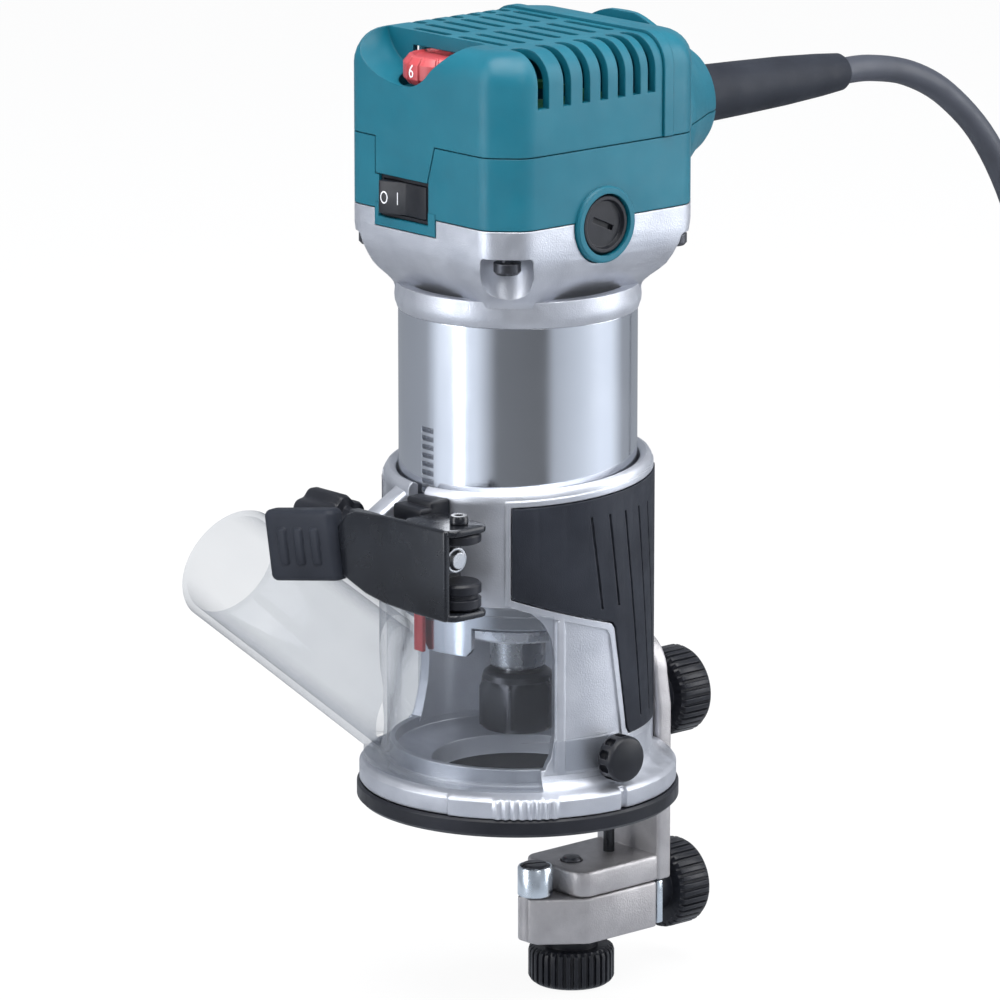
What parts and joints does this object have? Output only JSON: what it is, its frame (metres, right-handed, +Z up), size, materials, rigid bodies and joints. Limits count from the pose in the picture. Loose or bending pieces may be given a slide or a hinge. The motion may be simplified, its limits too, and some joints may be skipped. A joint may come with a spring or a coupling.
{
  "type": "trim router",
  "caption": "Compact trim router: square-shouldered motor head, polished barrel in a clamped round base, clear dust nozzle, hanging roller guide, mains cord.",
  "frame": {"origin": "middle of the sole, on its underside, on the bit axis", "axes": "+Z up along the bit axis, -Y towards the switch and lock lever, +Y towards the cord and roller guide, +X towards the nozzle thumb screw"},
  "size_m": [0.2179, 0.3765, 0.2715],
  "materials": {
    "silver": "bead-blasted casting",
    "polished": "turned and polished",
    "warm": "sandy casting",
    "zinc": "satin",
    "steel": "satin",
    "black": "satin",
    "rubber": "satin",
    "black_steel": "satin",
    "teal": "satin",
    "red": "satin",
    "clear": "satin",
    "copper": "satin",
    "carbon": "satin",
    "green": "satin",
    "brass": "satin"
  },
  "bodies": {
    "base": {"base_frame": "silver", "sole_ring": "black", "grip_right": "rubber", "grip_left": "rubber", "dust_nozzle": "clear", "lever_pin": "steel", "lug_cap": "black", "clamp_bolt": "steel", "clamp_nut": "steel", "clamp_cam": "black", "cord_coil": "rubber", "plug_body": "black", "plug_pin_a": "brass", "plug_pin_b": "brass"},
    "lever": {"lock_lever": "black_steel", "lever_sleeve": "rubber"},
    "pinion": {"depth_pinion": "steel", "depth_knob": "black"},
    "thumb_screw": {"nozzle_thumb_screw": "black"},
    "motor": {"motor_housing": "polished", "lower_housing": "teal", "top_cover": "teal", "rear_cover": "teal", "control_board": "green", "switch_body": "black", "field_core": "steel", "housing_screw_1": "steel", "housing_screw_2": "steel", "housing_screw_3": "steel", "housing_screw_4": "steel", "brush_cap_right": "black", "brush_cap_left": "black", "brush_holder_right": "brass", "brush_holder_left": "brass", "carbon_brush_right": "carbon", "carbon_brush_left": "carbon", "lower_bearing": "steel", "upper_bearing": "steel", "bearing_retainer": "silver", "bearing_bridge": "black", "cord_sleeve": "rubber", "power_cord": "rubber"},
    "dial": {"speed_dial": "red"},
    "rocker": {"switch_rocker": "black"},
    "rotor": {"spindle": "steel", "rotor_core": "steel", "commutator": "copper", "cooling_fan": "black", "collet_nut": "black_steel", "collet_cone": "steel"},
    "bracket": {"guide_bracket": "warm", "screw_retainer": "zinc"},
    "clamp_knob": {"guide_clamp_knob": "black", "guide_washer": "zinc"},
    "adjust_knob": {"guide_adjust_knob": "black"},
    "slider": {"slider_block": "warm", "roller_screw": "steel"},
    "roller": {"guide_roller": "zinc"},
    "lock_knob": {"slider_lock_knob": "black", "lock_washer": "zinc"}
  },
  "joints": [
    {"name": "depth_slide", "type": "slide", "parent": "base", "child": "motor", "axis": [0, 0, 1], "range_m": [-0.028, 0.018]},
    {"name": "depth_pinion_turn", "type": "hinge", "parent": "base", "child": "pinion", "pos_m": [0, -0.0359, 0.077], "axis": [1, 0, 0], "range_deg": [-400, 400]},
    {"name": "lock_lever_swing", "type": "hinge", "parent": "base", "child": "lever", "pos_m": [0.0268, -0.0446, 0.077], "axis": [0, 0, 1], "range_deg": [0, 95]},
    {"name": "nozzle_screw_turn", "type": "hinge", "parent": "base", "child": "thumb_screw", "pos_m": [0.044, 0, 0.019], "axis": [1, 0, 0], "range_deg": [-360, 0]},
    {"name": "spindle_spin", "type": "hinge", "parent": "motor", "child": "rotor", "pos_m": [0, 0, 0.1], "axis": [0, 0, 1], "continuous": true},
    {"name": "switch_rock", "type": "hinge", "parent": "motor", "child": "rocker", "pos_m": [-0.0062, -0.0324, 0.1702], "axis": [0, 0, 1], "range_deg": [-11, 0]},
    {"name": "dial_turn", "type": "hinge", "parent": "motor", "child": "dial", "pos_m": [-0.0045, -0.0225, 0.205], "axis": [0, 0, 1], "range_deg": [-270, 0]},
    {"name": "bracket_slide", "type": "slide", "parent": "base", "child": "bracket", "axis": [0, 0, 1], "range_m": [-0.01, 0.01]},
    {"name": "clamp_knob_turn", "type": "hinge", "parent": "base", "child": "clamp_knob", "pos_m": [0, 0.057, 0.0195], "axis": [0, 1, 0], "range_deg": [0, 360]},
    {"name": "adjust_knob_turn", "type": "hinge", "parent": "bracket", "child": "adjust_knob", "pos_m": [0, 0.057, -0.0365], "axis": [0, 1, 0], "range_deg": [-4320, 0]},
    {"name": "slider_slide", "type": "slide", "parent": "bracket", "child": "slider", "axis": [0, 1, 0], "range_m": [-0.012, 0]},
    {"name": "roller_spin", "type": "hinge", "parent": "slider", "child": "roller", "pos_m": [0, 0.0065, -0.026], "axis": [0, 0, 1], "continuous": true},
    {"name": "lock_knob_turn", "type": "hinge", "parent": "bracket", "child": "lock_knob", "pos_m": [0, 0.02, -0.05], "axis": [0, 0, 1], "range_deg": [0, 360]}
  ],
  "couplings": [
    {"joint": "depth_pinion_turn", "follows": "depth_slide", "rad_per_m": 242.42},
    {"joint": "adjust_knob_turn", "follows": "slider_slide", "rad_per_m": 6283.2}
  ]
}
